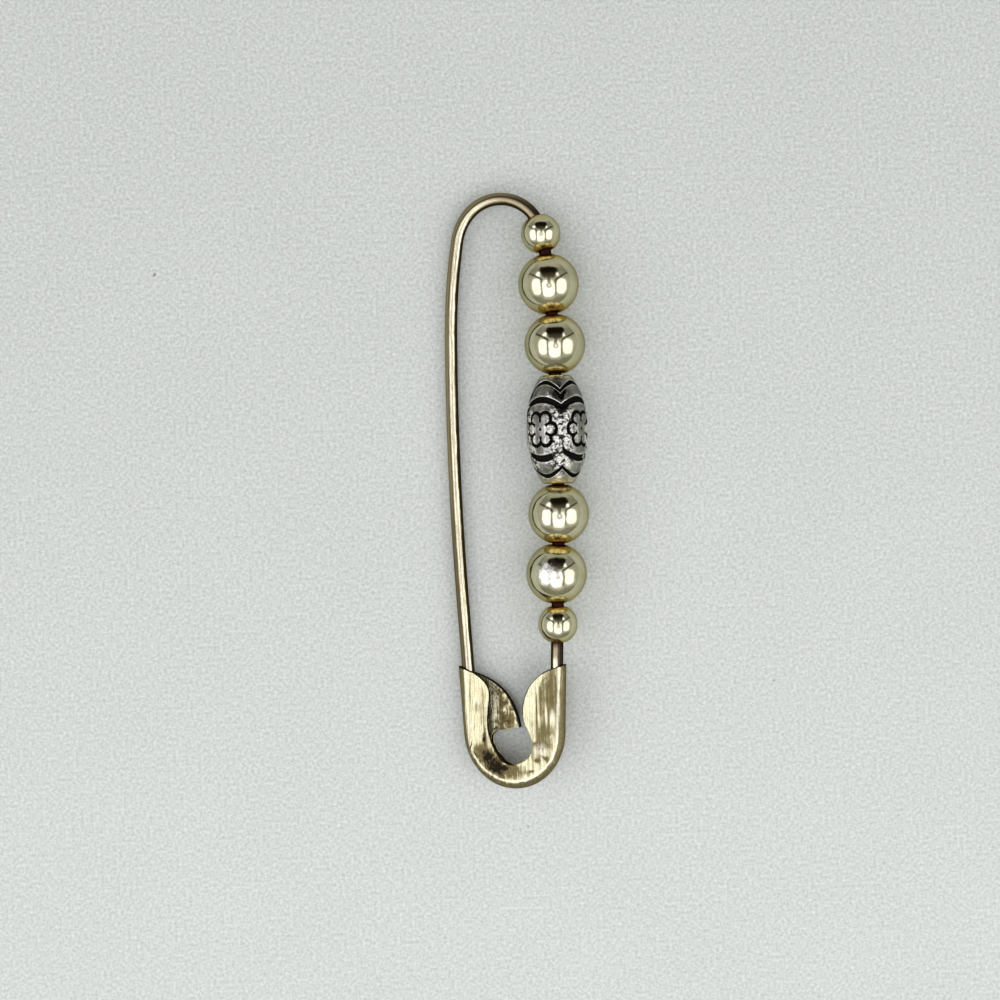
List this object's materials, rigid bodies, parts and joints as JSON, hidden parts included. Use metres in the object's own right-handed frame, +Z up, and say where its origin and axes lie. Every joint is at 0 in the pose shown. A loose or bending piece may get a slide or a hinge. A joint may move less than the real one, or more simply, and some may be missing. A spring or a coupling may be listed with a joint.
{
  "type": "safety pin brooch",
  "caption": "Safety pin brooch: a bent gold wire pin with a folded sheet clasp, strung with round metal beads and a cast barrel bead, lying on a surface.",
  "frame": {"origin": "centre of the box round the whole brooch, at the surface it lies on", "axes": "+Y along the row of beads from the clasp to the bend, +X from the spine wire to the beads, +Z up from the surface"},
  "size_m": [0.0186, 0.0786, 0.0082],
  "materials": {
    "gold_wire": "antique pale gold plating, semi-gloss",
    "gold_clasp": "antique pale gold plating, brushed and tarnished",
    "gold_bead": "high-gloss champagne gold plating",
    "old_silver": "antique silver casting with blackened grooves"
  },
  "bodies": {
    "root": {"spine_wire": "gold_wire", "clasp": "gold_clasp"},
    "pin_arm": {"pin_wire": "gold_wire", "top_small_bead": "gold_bead", "first_round_bead": "gold_bead", "second_round_bead": "gold_bead", "barrel_bead": "old_silver", "third_round_bead": "gold_bead", "fourth_round_bead": "gold_bead", "bottom_small_bead": "gold_bead"}
  },
  "joints": [
    {"name": "pin_flex", "type": "hinge", "parent": "root", "child": "pin_arm", "pos_m": [-0.00158, 0.03852, 0.00257], "axis": [0.2237, 0, -0.9747], "range_deg": [0, 5], "stiffness_Nm_per_rad": 2, "springref_deg": -1.72}
  ]
}
